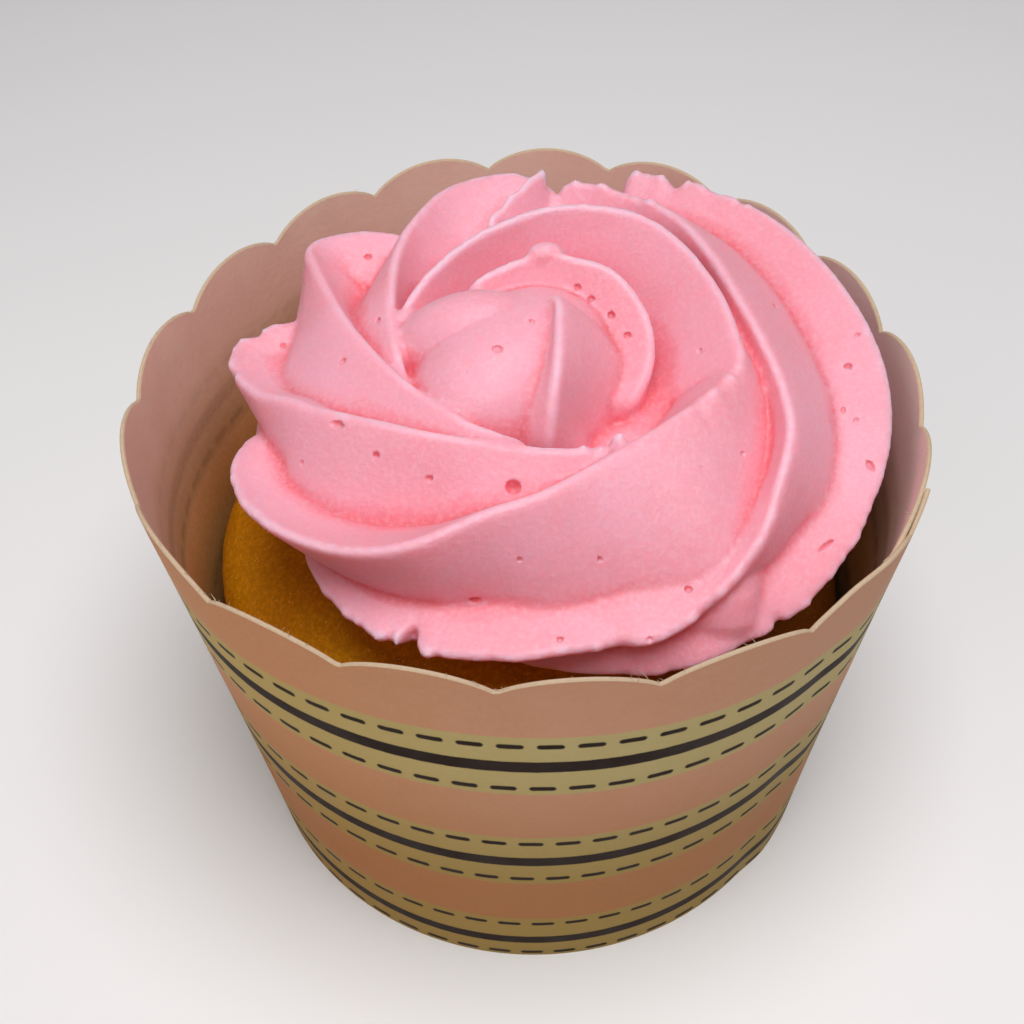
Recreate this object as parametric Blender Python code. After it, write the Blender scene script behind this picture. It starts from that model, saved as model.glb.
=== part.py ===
"""A cupcake with a piped rosette of icing, in the scalloped card cup it was baked in.

Lengths are in millimetres and are turned into metres by MM when a mesh is made.
The origin is on the table, under the middle of the rim. +Z is up and -Y is the front.
The mouth is pressed a little out of round, so the cup's own axis stands AXIS_AT from
the origin. Azimuths are in degrees round that axis, counter-clockwise from +X as seen
from above.
"""

from math import cos, pi, radians, sin

import bmesh
import bpy
import numpy as np

MM = 0.001
GAP = 0.3  # clearance between pieces that touch
AXIS_AT = (0.32, -0.75)

# Card cup: a tapered sleeve, glued where its ends lap, with a punched scalloped rim
CUP_FOOT_R = 27.3
CUP_TAPER = 0.079  # radius gained for each millimetre of height
CUP_VALLEY_Z = 45.2
SCALLOP_H = 1.9
SCALLOPS = 17
SCALLOP_START = 265.05  # azimuth of one valley of the rim
SCALLOP_ROUND = 0.8  # 1 is a parabola, less is a fuller arc
CARD = 0.5
OVAL_2 = (-0.29, -0.11)  # how far the soft mouth is pressed out of round, in two waves
OVAL_3 = (-0.76, -0.35)  # and in three waves, as (cosine, sine) from the front
OVAL_POWER = 1.5
COLUMNS_PER_SCALLOP = 8
SLEEVE_LEVELS = (0.0, 0.35, 0.7, 1.0)
LAP_END = 335.0  # azimuth of the outer end of the card
LAP_WIDTH = 13.0  # degrees that the ends lap
LAP_STEP = 0.4  # degrees over which the lap's edge rises
LAP_NOTCH = 1.4  # depth of the mismatch in the rim at the lap

# Base disc of the cup, with its turned-down hem glued inside the foot
BASE_UP = 1.8
HEM_W = 0.9
BASE_SIDES = 68

# Sponge: fills the cup under a domed crust
CRUST_EDGE_Z = 25.4
CRUST_RISE = 12.4
CRUST_POWER = 2.2
CRUST_ROUND = 2.4
SPONGE_SIDES = 51
SPONGE_RINGS = 9

# Icing: a rope from a six-point star tube, coiled once and a half round a bud.
# ROPE is the path of its solid middle: (azimuth, distance from the axis, height, radius).
ROPE = (
    (-62, 7.0, 42.0, 5.0),
    (0, 7.6, 42.4, 5.8),
    (58, 9.0, 42.0, 6.2),
    (92, 12.0, 41.0, 6.6),
    (122, 14.6, 39.6, 6.8),
    (180, 15.0, 39.0, 6.9),
    (240, 14.6, 38.8, 6.9),
    (295, 15.6, 38.8, 6.9),
    (345, 19.2, 39.3, 6.9),
    (380, 20.6, 40.2, 6.8),
    (408, 21.2, 41.0, 6.2),
    (424, 22.0, 42.0, 4.6),
)
# Each fold is one point of the star, which climbs from the rope's outer side over its
# top to its inner side. Its crest is (azimuth, distance from the axis, height). Under
# the crest it widens, by "outer" and "inner" at its first and last end, down to a root
# at "root" from the axis and "root_z" up.
FOLDS = (
    {
        "crest": (
            (258, 19.0, 35.2), (272, 21.6, 36.2), (285, 24.0, 36.9), (298, 25.8, 37.7),
            (318, 27.5, 39.6), (338, 28.3, 42.6), (357, 28.5, 45.0), (378, 28.1, 46.8),
            (398, 27.6, 48.2), (412, 27.5, 48.9), (426, 27.6, 48.8),
        ),
        "root": (15.0, 21.5), "root_z": 39.5, "outer": (3.4, 3.4), "inner": (5.0, 4.6),
    },
    {
        "crest": (
            (203, 20.3, 37.4), (226, 22.7, 39.4), (253, 23.8, 40.2), (278, 24.0, 41.0),
            (297, 25.4, 42.4), (310, 24.9, 45.2), (326, 23.0, 48.3), (344, 20.2, 50.1),
            (374, 17.2, 51.0), (400, 18.0, 50.6), (420, 20.0, 49.4),
        ),
        "root": (14.0, 20.0), "root_z": 39.5, "outer": (3.2, 3.2), "inner": (6.0, 2.4),
    },
    {
        "crest": (
            (176, 20.0, 40.6), (189, 23.6, 43.4), (203, 24.9, 44.4), (216, 24.3, 45.8),
            (235, 22.1, 47.7), (253, 19.1, 49.2), (275, 15.5, 49.5), (297, 13.6, 49.2),
            (318, 12.6, 46.8), (345, 12.2, 44.0), (368, 12.2, 42.0),
        ),
        "root": (14.0, 16.0), "root_z": 39.0, "outer": (3.6, 3.0), "inner": (6.0, 3.0),
    },
    {
        "crest": (
            (165, 25.3, 45.2), (175, 24.7, 46.2), (188, 20.9, 48.0), (205, 15.6, 49.5),
            (222, 12.6, 50.1), (240, 11.1, 50.1), (259, 10.4, 49.8), (283, 10.6, 49.3),
            (305, 11.8, 48.9),
        ),
        "root": (14.0, 15.0), "root_z": 40.5, "outer": (4.6, 3.0), "inner": (8.5, 3.0),
    },
    {
        "crest": (
            (112, 24.6, 43.6), (126, 25.0, 46.4), (143, 22.6, 49.0), (154, 18.8, 49.8),
            (168, 14.6, 50.1), (183, 11.3, 50.1), (202, 9.1, 50.1), (226, 8.2, 50.0),
            (249, 8.5, 49.7), (271, 9.9, 49.2),
        ),
        "root": (16.0, 14.0), "root_z": 40.0, "outer": (9.5, 2.8), "inner": (4.6, 2.8),
    },
    {
        "crest": (
            (62, 24.9, 47.0), (78, 23.8, 49.2), (95, 22.8, 50.4), (110, 20.4, 50.9),
            (121, 17.8, 50.9), (133, 14.8, 50.6), (149, 12.3, 50.1), (162, 10.8, 49.4),
            (180, 9.2, 47.6),
        ),
        "root": (13.0, 14.5), "root_z": 39.5, "outer": (5.0, 3.2), "inner": (4.0, 3.0),
    },
    {
        "crest": (
            (300, 12.0, 47.0), (328, 14.4, 49.3), (341, 15.6, 50.1), (354, 16.2, 50.8),
            (374, 16.2, 51.8), (398, 16.4, 52.5), (419, 15.9, 52.8), (436, 13.4, 52.8),
            (455, 11.1, 52.4), (481, 9.8, 51.6), (500, 10.2, 50.8), (514, 10.5, 49.8),
            (533, 9.3, 47.8),
        ),
        "root": (7.0, 14.0), "root_z": 42.0, "outer": (2.6, 2.6), "inner": (3.6, 2.6),
    },
    {
        "crest": (
            (143, 7.4, 49.6), (133, 6.4, 51.6), (106, 6.3, 52.6), (76, 7.6, 53.2),
            (46, 7.8, 53.1), (22, 9.0, 52.6), (2, 10.0, 52.0), (-14, 10.3, 51.2),
            (-40, 9.6, 49.8),
        ),
        "root": (2.5, 5.5), "root_z": 43.5, "outer": (2.2, 2.2), "inner": (1.6, 3.6),
    },
    {
        "crest": (
            (45, 3.9, 52.6), (20, 3.0, 53.6), (-32, 3.2, 53.9), (-65, 5.7, 52.9),
            (-77, 8.4, 51.4), (-82, 10.4, 49.6),
        ),
        "root": (0.5, 4.0), "root_z": 44.0, "outer": (2.8, 2.8), "inner": (4.4, 4.0),
    },
)
# Round masses inside the coil, as (centre, radii): the bud's two cheeks, the swell
# beside its ridge, and the filling under them all.
MASSES = (
    ((-3.0, -2.4, 46.0), (6.2, 6.6, 8.0)),
    ((-4.6, -0.2, 45.6), (6.2, 5.8, 7.4)),
    ((5.4, -2.8, 45.4), (4.8, 6.4, 5.6)),
    ((1.6, -9.6, 44.6), (4.0, 3.0, 4.6)),
    ((0.0, 0.0, 38.0), (15.0, 15.0, 8.0)),
)
CREST_W = 0.55  # half the thickness of a fold at its crest
FOLD_STEPS = 60
FOLD_DEPTHS = (0.0, 0.05, 0.15, 0.3, 0.5, 0.75, 1.0)
FOLD_FADE = 0.05  # share of its length over which a fold rises at each end
ROPE_STEPS = 80
ROPE_SIDES = 18
ICING_VOXEL = 0.75
ICING_SMOOTH = 4
ICING_KEEP = 0.15  # share of the faces that the thinning leaves
TOOL_RINGS = 10
TOOL_SIDES = 48


def material(name, colour, roughness):
    made = bpy.data.materials.new(name)
    made.use_nodes = True
    shader = made.node_tree.nodes["Principled BSDF"]
    shader.inputs["Base Color"].default_value = (*colour, 1.0)
    shader.inputs["Roughness"].default_value = roughness
    return made


def add_mesh(name, points, faces, finish=None):
    """A new object from points in millimetres, with its faces turned outwards."""
    mesh = bpy.data.meshes.new(name)
    across, back = AXIS_AT
    placed = [(MM * (x + across), MM * (y + back), MM * z) for x, y, z in points]
    mesh.from_pydata(placed, [], faces)
    shape = bmesh.new()
    shape.from_mesh(mesh)
    bmesh.ops.recalc_face_normals(shape, faces=shape.faces)
    shape.to_mesh(mesh)
    shape.free()
    made = bpy.data.objects.new(name, mesh)
    bpy.context.scene.collection.objects.link(made)
    if finish:
        mesh.materials.append(finish)
        mesh.shade_smooth()
        mesh.set_sharp_from_angle(angle=radians(40))
    return made


def loft(loops, close_ends=True):
    """Points and faces of a skin over equal closed loops, with a cap on each end."""
    count = len(loops[0])
    points = [point for loop in loops for point in loop]
    faces = []
    for row in range(len(loops) - 1):
        for k in range(count):
            after = (k + 1) % count
            low, high = row * count, (row + 1) * count
            faces.append((low + k, low + after, high + after, high + k))
    if close_ends:
        last = (len(loops) - 1) * count
        faces.append(tuple(range(count)))
        faces.append(tuple(last + k for k in range(count)))
    return points, faces


def ring(radius, height, sides):
    angles = (2 * pi * k / sides for k in range(sides))
    return [(radius * cos(a), radius * sin(a), height) for a in angles]


# ---- Card cup ----


def scallop(azimuth):
    """Height of the rim over its valleys."""
    share = ((azimuth - SCALLOP_START) * SCALLOPS / 360) % 1
    return SCALLOP_H * (1 - (2 * share - 1) ** 2) ** SCALLOP_ROUND


def cup_radius(azimuth, height):
    """Outer radius of the sleeve, with its mouth a little out of round."""
    turn = radians(azimuth - 270)
    wave = OVAL_2[0] * cos(2 * turn) - OVAL_2[1] * sin(2 * turn)
    wave += OVAL_3[0] * cos(3 * turn) - OVAL_3[1] * sin(3 * turn)
    share = min(height / CUP_VALLEY_Z, 1.0)
    return CUP_FOOT_R + CUP_TAPER * height + wave * share**OVAL_POWER


def sleeve_columns():
    """(azimuth, how much of the lap's second layer is there, depth of its notch)."""
    count = SCALLOPS * COLUMNS_PER_SCALLOP
    columns = [(SCALLOP_START + 360 * k / count) % 360 for k in range(count)]
    lap_start = LAP_END - LAP_WIDTH
    near = (lap_start, lap_start + LAP_STEP, LAP_END - LAP_STEP, LAP_END)
    columns = [a for a in columns if min(abs(a - edge) for edge in near) > 1.2]
    rows = [(a, float(lap_start < a < LAP_END), 0.0) for a in columns]
    rows += [(near[0], 0.0, 0.0), (near[1], 1.0, 0.0)]
    rows += [(near[2], 1.0, 0.0), (near[3], 0.0, LAP_NOTCH)]
    return sorted(rows)


def sleeve():
    """The wall is one closed skin: up the outside, over the rim and down the inside."""
    loops = []
    for azimuth, lap, notch in sleeve_columns():
        top = CUP_VALLEY_Z + scallop(azimuth) - notch
        heights = [top * level for level in SLEEVE_LEVELS]
        outside = [(cup_radius(azimuth, z) + lap * CARD, z) for z in heights]
        inside = [(cup_radius(azimuth, z) - CARD, z) for z in reversed(heights)]
        a = radians(azimuth)
        loops.append([(r * cos(a), r * sin(a), z) for r, z in outside + inside])
    points, faces = loft(loops + [loops[0]], close_ends=False)
    count = len(loops[0])
    faces = [tuple(i % (count * len(loops)) for i in face) for face in faces]
    card = material("printed_card", (0.42, 0.24, 0.17), 0.7)
    return add_mesh("cup_sleeve", points[: count * len(loops)], faces, card)


def base_disc():
    """A disc that stands on its own turned-down hem."""
    low = CUP_FOOT_R - CARD - GAP
    high = low + CUP_TAPER * BASE_UP
    loops = [
        ring(low - HEM_W, 0.0, BASE_SIDES),
        ring(low, 0.0, BASE_SIDES),
        ring(high, BASE_UP + CARD, BASE_SIDES),
    ]
    points, faces = loft(loops, close_ends=False)
    inner = ring(low - HEM_W, BASE_UP, BASE_SIDES)
    start = len(points)
    points += inner
    for k in range(BASE_SIDES):
        after = (k + 1) % BASE_SIDES
        faces.append((k, start + k, start + after, after))
    faces.append(tuple(start + k for k in range(BASE_SIDES)))
    faces.append(tuple(2 * BASE_SIDES + k for k in range(BASE_SIDES)))
    return add_mesh("cup_base", points, faces, material("base_card", (0.62, 0.55, 0.44), 0.75))


# ---- Sponge ----


def crust_height(radius):
    share = min(radius / crust_radius(), 1.0)
    return CRUST_EDGE_Z + CRUST_RISE * (1 - share**CRUST_POWER)


def crust_radius():
    """Where the crust meets the wall, clear of the narrowest way across the mouth."""
    oval = sum(abs(c) for c in OVAL_2 + OVAL_3)
    share = (CRUST_EDGE_Z / CUP_VALLEY_Z) ** OVAL_POWER
    return CUP_FOOT_R + CUP_TAPER * CRUST_EDGE_Z - CARD - GAP - oval * share


def sponge():
    bottom = BASE_UP + CARD + GAP
    foot = CUP_FOOT_R + CUP_TAPER * bottom - CARD - GAP
    edge = crust_radius()
    loops = [ring(foot, bottom, SPONGE_SIDES)]
    loops.append(ring(edge - 0.1, CRUST_EDGE_Z - CRUST_ROUND, SPONGE_SIDES))
    for k in range(1, 4):
        turn = radians(90 * k / 3)
        radius = edge - CRUST_ROUND * (1 - cos(turn))
        drop = CRUST_ROUND * (1 - sin(turn))
        loops.append(ring(radius, crust_height(radius) - drop, SPONGE_SIDES))
    for k in range(SPONGE_RINGS - 1, 0, -1):
        radius = (edge - CRUST_ROUND) * k / SPONGE_RINGS
        loops.append(ring(radius, crust_height(radius), SPONGE_SIDES))
    points, faces = loft(loops)
    return add_mesh("sponge", points, faces, material("sponge_crust", (0.36, 0.14, 0.01), 0.6))


# ---- Icing ----


def smooth_curve(rows, count):
    """Points at even steps on a Catmull-Rom curve through the rows."""
    rows = np.array(rows, float)
    ends = np.vstack([2 * rows[0] - rows[1], rows, 2 * rows[-1] - rows[-2]])
    place = np.linspace(0, len(rows) - 1, count)
    first = np.minimum(place.astype(int), len(rows) - 2)
    u = (place - first)[:, None]
    a, b, c, d = (ends[first + k] for k in range(4))
    linear, square, cube = c - a, 2 * a - 5 * b + 4 * c - d, 3 * b - a - 3 * c + d
    return 0.5 * (2 * b + linear * u + square * u**2 + cube * u**3)


def from_polar(rows):
    rows = np.array(rows, float)
    a = np.radians(rows[:, 0])
    return np.column_stack([rows[:, 1] * np.cos(a), rows[:, 1] * np.sin(a), rows[:, 2:]])


def unit_rows(vectors):
    return vectors / np.linalg.norm(vectors, axis=1)[:, None]


def fold(crest, root, root_z, outer, inner):
    """One fold: thin along its crest and fuller towards its root."""
    line = smooth_curve(from_polar(crest), FOLD_STEPS)
    along = np.linspace(0, 1, FOLD_STEPS)
    azimuth = np.arctan2(line[:, 1], line[:, 0])
    reach = np.interp(along, (0, 1), root)
    height = np.full(FOLD_STEPS, root_z)
    base = np.column_stack([reach * np.cos(azimuth), reach * np.sin(azimuth), height])
    rise = np.clip(np.minimum(along, 1 - along) / FOLD_FADE, 0, 1)
    rise = np.sqrt(1 - (1 - rise) ** 2)
    top = base + (line - base) * (0.45 + 0.55 * rise)[:, None]
    turn = np.sign(crest[-1][0] - crest[0][0])
    outward = unit_rows(turn * np.cross(unit_rows(np.gradient(line, axis=0)), top - base))
    depth = np.array(FOLD_DEPTHS)
    loops = []
    for i in range(FOLD_STEPS):
        fullness = 0.65 + 0.5 * along[i]
        swell = 0.35 + 0.65 * rise[i]
        width = np.interp(along[i], (0, 1), inner)
        inside = (CREST_W + (width - CREST_W) * depth**fullness) * swell
        width = np.interp(along[i], (0, 1), outer)
        outside = (CREST_W + (width - CREST_W) * depth ** (fullness + 0.2)) * swell
        inside[0] = outside[0] = CREST_W * swell / 2
        middle = top[i] + (base[i] - top[i]) * depth[:, None]
        inner_side = middle - outward[i] * inside[:, None]
        outer_side = middle + outward[i] * outside[:, None]
        loops.append([*inner_side[::-1], *outer_side])
    return loft(loops)


def rope_middle():
    path = smooth_curve(from_polar(ROPE), ROPE_STEPS)
    line, radius = path[:, :3], path[:, 3]
    way = unit_rows(np.gradient(line, axis=0))
    side = unit_rows(np.cross(way, (0.0, 0.0, 1.0)))
    up = np.cross(side, way)
    angles = [2 * pi * k / ROPE_SIDES for k in range(ROPE_SIDES)]
    loops = [
        [line[i] + radius[i] * (cos(a) * side[i] + sin(a) * up[i]) for a in angles]
        for i in range(ROPE_STEPS)
    ]
    return loft(loops)


def mass(centre, radii):
    rows = 12
    loops = []
    for k in range(1, rows):
        tilt = pi * k / rows
        flat = ring(sin(tilt), cos(tilt), 2 * rows)
        loops.append([[c + r * p for c, r, p in zip(centre, radii, point)] for point in flat])
    return loft(loops)


def under_crust_tool():
    """A cutter that fills the cup up to a gap over the crust."""
    reach = 2 * CUP_FOOT_R
    loops = [ring(reach, -CRUST_RISE, TOOL_SIDES)]
    for k in range(TOOL_RINGS, 0, -1):
        radius = crust_radius() * k / TOOL_RINGS
        height = crust_height(radius) + GAP
        if k == TOOL_RINGS:
            loops.append(ring(reach, height, TOOL_SIDES))
        loops.append(ring(radius, height, TOOL_SIDES))
    points, faces = loft(loops)
    tool = add_mesh("under_crust_tool", points, faces)
    tool.hide_render = True
    tool.display_type = "WIRE"
    return tool


def icing():
    points, faces = [], []
    shapes = [fold(**row) for row in FOLDS]
    shapes += [rope_middle()] + [mass(*row) for row in MASSES]
    for more_points, more_faces in shapes:
        start = len(points)
        points += more_points
        faces += [tuple(start + i for i in face) for face in more_faces]
    made = add_mesh("icing", points, faces, material("pink_icing", (0.83, 0.36, 0.42), 0.5))
    skin = made.modifiers.new("one_skin", "REMESH")
    skin.mode = "VOXEL"
    skin.voxel_size = ICING_VOXEL * MM
    skin.use_smooth_shade = True
    soften = made.modifiers.new("soften", "SMOOTH")
    soften.iterations = ICING_SMOOTH
    thin = made.modifiers.new("thin_out", "DECIMATE")
    thin.ratio = ICING_KEEP
    seat = made.modifiers.new("seat_on_crust", "BOOLEAN")
    seat.operation = "DIFFERENCE"
    seat.solver = "EXACT"
    seat.object = under_crust_tool()
    return made


for old in list(bpy.data.objects):
    bpy.data.objects.remove(old)

sleeve()
base_disc()
sponge()
icing()
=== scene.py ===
from math import cos, degrees, exp, hypot, pi, radians, sin

import bmesh
import bpy
import numpy as np
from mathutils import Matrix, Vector, kdtree, noise


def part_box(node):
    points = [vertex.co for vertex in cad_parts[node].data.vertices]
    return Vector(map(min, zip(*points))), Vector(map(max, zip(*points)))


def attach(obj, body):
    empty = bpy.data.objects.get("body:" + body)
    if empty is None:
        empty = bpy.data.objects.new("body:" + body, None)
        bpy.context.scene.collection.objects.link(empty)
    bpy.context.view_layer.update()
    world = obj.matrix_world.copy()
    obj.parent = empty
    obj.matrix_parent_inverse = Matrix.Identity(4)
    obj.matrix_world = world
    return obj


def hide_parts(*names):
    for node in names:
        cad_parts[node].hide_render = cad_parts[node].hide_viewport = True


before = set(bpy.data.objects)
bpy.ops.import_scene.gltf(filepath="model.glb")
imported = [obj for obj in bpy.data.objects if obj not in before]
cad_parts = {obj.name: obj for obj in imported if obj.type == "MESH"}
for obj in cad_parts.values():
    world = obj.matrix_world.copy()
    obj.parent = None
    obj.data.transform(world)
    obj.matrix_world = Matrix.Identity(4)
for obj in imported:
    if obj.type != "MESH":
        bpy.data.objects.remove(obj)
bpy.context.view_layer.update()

# ---------------------------------------------------------------------------
# Card sleeve. A fan-shaped blank of stiff paper board, printed on one side with
# pink and cream bands and stitched stripes, punched with a scalloped edge, then
# rolled and glued where its two ends lap.

# Lengths are in millimetres round the cup's axis. Azimuths are in degrees from +X,
# counted anticlockwise, so that the front is at 270.
MM = 0.001
foot_low, foot_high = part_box("cup_base")
AXIS = (foot_low + foot_high) / 2
CUP_FOOT_R = 27.3
CUP_TAPER = 0.079  # the radius gains this much for each millimetre of height
CARD = 0.36
VALLEY_Z = 45.2
SCALLOP_H = 1.9
SCALLOPS = 17
SCALLOP_START = 265.05
SCALLOP_ROUND = 0.8
OVAL_2 = (-0.29, -0.11)  # how far the mouth is out of round, in two waves a turn
OVAL_3 = (-0.76, -0.35)  # and in three
OVAL_POWER = 1.5
LAP_START = 322.0
LAP_END = 335.0
LAP_CLIMB = 9.0
LAP_CLEAR = 0.03
LAP_SLIP = 3.4  # degrees by which the scallops of the end underneath are out of step
LAP_DROP = 0.5  # how much lower that end was rolled
BOARD_WAVE = 0.06
BOARD_WAVES_ROUND = 2.0
BOARD_WAVES_UP = 0.08
SLEEVE_COLUMNS = 420
SLEEVE_ROWS = 26
RIM_SOFT = 0.1
PRINTED, INSIDE, CUT_EDGE = 0, 1, 2  # the sleeve's three finishes, in their order


def place(points):
    """Millimetres round the cup's axis, turned into metres in the frame."""
    points = np.asarray(points, float) * MM
    return points + np.array([AXIS.x, AXIS.y, 0.0])


def new_piece(name, points, faces, crease=35):
    """A mesh object from points round the cup's axis, smooth but for sharper edges."""
    mesh = bpy.data.meshes.new(name)
    mesh.from_pydata(place(points).tolist(), [], faces)
    shell = bmesh.new()
    shell.from_mesh(mesh)
    bmesh.ops.recalc_face_normals(shell, faces=shell.faces)
    shell.to_mesh(mesh)
    shell.free()
    mesh.shade_smooth()
    mesh.set_sharp_from_angle(angle=radians(crease))
    piece = bpy.data.objects.new(name, mesh)
    bpy.context.scene.collection.objects.link(piece)
    return piece


def scallop(azimuth):
    """How far the punched edge stands above its valleys."""
    share = ((azimuth - SCALLOP_START) * SCALLOPS / 360) % 1
    return SCALLOP_H * (1 - (2 * share - 1) ** 2) ** SCALLOP_ROUND


def cup_radius(azimuth, height):
    """Outer radius of the card, with the soft mouth a little out of round."""
    turn = radians(azimuth - 270)
    wave = OVAL_2[0] * cos(2 * turn) - OVAL_2[1] * sin(2 * turn)
    wave += OVAL_3[0] * cos(3 * turn) - OVAL_3[1] * sin(3 * turn)
    share = min(height / VALLEY_Z, 1.0)
    return CUP_FOOT_R + CUP_TAPER * height + wave * share**OVAL_POWER


def sleeve_mesh():
    """The blank goes once round and a little more, its far end over its near end."""
    loops = []
    for azimuth in np.linspace(LAP_START, LAP_END + 360, SLEEVE_COLUMNS):
        climb = (azimuth - (LAP_START + 360 - LAP_CLIMB)) / LAP_CLIMB
        climb = min(max(climb, 0.0), 1.0)
        lift = (CARD + LAP_CLEAR) * climb * climb * (3 - 2 * climb)
        first_end = azimuth < LAP_END
        slip, drop = (LAP_SLIP, LAP_DROP) if first_end else (0.0, 0.0)
        top = VALLEY_Z + scallop(azimuth + slip) - drop
        a = radians(azimuth)
        outer, inner = [], []
        for row in range(SLEEVE_ROWS):
            z = top * row / (SLEEVE_ROWS - 1)
            spot = (BOARD_WAVES_ROUND * cos(a), BOARD_WAVES_ROUND * sin(a), BOARD_WAVES_UP * z)
            r = cup_radius(azimuth, z) + lift + BOARD_WAVE * noise.noise(spot) * z / top
            outer.append((r, z))
            inner.append((r - CARD, z))
        outer[-1] = (outer[-1][0], top - RIM_SOFT)
        inner[-1] = (inner[-1][0], top - RIM_SOFT)
        edge = [(outer[-1][0] - RIM_SOFT, top), (inner[-1][0] + RIM_SOFT, top)]
        loops.append([(r * cos(a), r * sin(a), z) for r, z in outer + edge + inner[::-1]])
    count = len(loops[0])
    points = [p for loop in loops for p in loop]
    faces, kinds = [], []
    for i in range(len(loops) - 1):
        for k in range(count):
            after = (k + 1) % count
            near, far = i * count, (i + 1) * count
            faces.append((near + k, near + after, far + after, far + k))
            if k < SLEEVE_ROWS - 1:
                kinds.append(PRINTED)
            elif SLEEVE_ROWS + 2 <= k < count - 1:
                kinds.append(INSIDE)
            else:
                kinds.append(CUT_EDGE)
    last = (len(loops) - 1) * count
    for k in range(SLEEVE_ROWS - 1):
        faces.append((k, k + 1, count - 2 - k, count - 1 - k))
        faces.append((last + k, last + k + 1, last + count - 2 - k, last + count - 1 - k))
        kinds += [CUT_EDGE, CUT_EDGE]
    rim = range(SLEEVE_ROWS - 1, SLEEVE_ROWS + 3)
    faces += [tuple(rim), tuple(last + k for k in rim)]
    kinds += [CUT_EDGE, CUT_EDGE]
    return points, faces, kinds


class Finish:
    """A finish being mixed: each call adds one step to it and gives back its result."""

    def __init__(self, name):
        self.material = bpy.data.materials.new(name)
        self.material.use_nodes = True
        self.tree = self.material.node_tree
        self.shader = self.tree.nodes["Principled BSDF"]
        place_node = self.tree.nodes.new("ShaderNodeTexCoord")
        self.where = place_node.outputs["Object"]

    def put(self, socket, value):
        """A link or a constant, whichever the value is."""
        if isinstance(value, bpy.types.NodeSocket):
            self.tree.links.new(value, socket)
        elif isinstance(value, tuple) and len(value) == 3 and socket.type == "RGBA":
            socket.default_value = (*value, 1.0)
        else:
            socket.default_value = value

    def math(self, kind, *values):
        node = self.tree.nodes.new("ShaderNodeMath")
        node.operation = kind
        for socket, value in zip(node.inputs, values):
            self.put(socket, value)
        return node.outputs[0]

    def vector(self, kind, *values):
        node = self.tree.nodes.new("ShaderNodeVectorMath")
        node.operation = kind
        for socket, value in zip(node.inputs, values):
            self.put(socket, value)
        return node.outputs[0]

    def split(self, vector):
        node = self.tree.nodes.new("ShaderNodeSeparateXYZ")
        self.put(node.inputs[0], vector)
        return node.outputs

    def smooth(self, value, low, high):
        """0 where the value is at low, 1 at high, and eased between."""
        node = self.tree.nodes.new("ShaderNodeMapRange")
        node.interpolation_type = "SMOOTHSTEP"
        self.put(node.inputs["Value"], value)
        self.put(node.inputs["From Min"], low)
        self.put(node.inputs["From Max"], high)
        return node.outputs["Result"]

    def mix(self, share, first, second, kind="MIX"):
        node = self.tree.nodes.new("ShaderNodeMix")
        node.data_type = "RGBA"
        node.blend_type = kind
        self.put(node.inputs[0], share)
        self.put(node.inputs[6], first)
        self.put(node.inputs[7], second)
        return node.outputs[2]

    def mark(self, name):
        """A share that the piece's own points carry."""
        node = self.tree.nodes.new("ShaderNodeAttribute")
        node.attribute_name = name
        return node.outputs["Fac"]

    def grain(self, scale, detail=4.0, rough=0.55):
        node = self.tree.nodes.new("ShaderNodeTexNoise")
        self.put(node.inputs["Vector"], self.where)
        node.inputs["Scale"].default_value = scale
        node.inputs["Detail"].default_value = detail
        node.inputs["Roughness"].default_value = rough
        return node.outputs["Fac"]

    def bump(self, height, strength, distance, under=None):
        node = self.tree.nodes.new("ShaderNodeBump")
        node.inputs["Strength"].default_value = strength
        node.inputs["Distance"].default_value = distance
        self.put(node.inputs["Height"], height)
        if under is not None:
            self.put(node.inputs["Normal"], under)
        return node.outputs["Normal"]

    def set(self, **values):
        """The finish's own inputs, named with underscores for spaces."""
        for name, value in values.items():
            self.put(self.shader.inputs[name.replace("_", " ")], value)


INK_SOFT = 0.09
INK_WANDER = 0.12
CREAM_BANDS = ((31.6, 39.8), (15.9, 24.4), (-1.0, 8.5))
BROWN_STRIPES = (35.7, 20.1, 3.7)
STRIPE_HALF = 0.75
STITCH_PITCH = 2.96
STITCH_HALF = 0.72
STITCH_R = 0.3
# (height, how far round from the front one stitch lies, in degrees towards +X)
STITCH_ROWS = ((38.55, 2.1), (32.5, 0.9), (23.3, -1.1), (16.9, -2.8), (7.35, 0.5), (0.75, -1.7))
PRINT_PINK = (0.62, 0.30, 0.17)
PRINT_PINK_WORN = (0.67, 0.36, 0.24)
PRINT_CREAM = (0.52, 0.41, 0.16)
PRINT_CREAM_WORN = (0.60, 0.50, 0.25)
PRINT_BROWN = (0.018, 0.006, 0.0015)
PRINT_SPECK = (0.66, 0.54, 0.38)
LOW_SHADE_HEIGHTS = (12.0, 38.0)  # painted shade, full below the first height and gone above the second
PAINTED_LOW_SHADE = (0.68, 0.56, 0.34)
WARM_SHADE_SIDE = (4.0, -26.0)  # painted warm shade from the first x on, wholly at the second
PAINTED_WARM_SHADE = (0.95, 0.82, 0.58)


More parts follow.
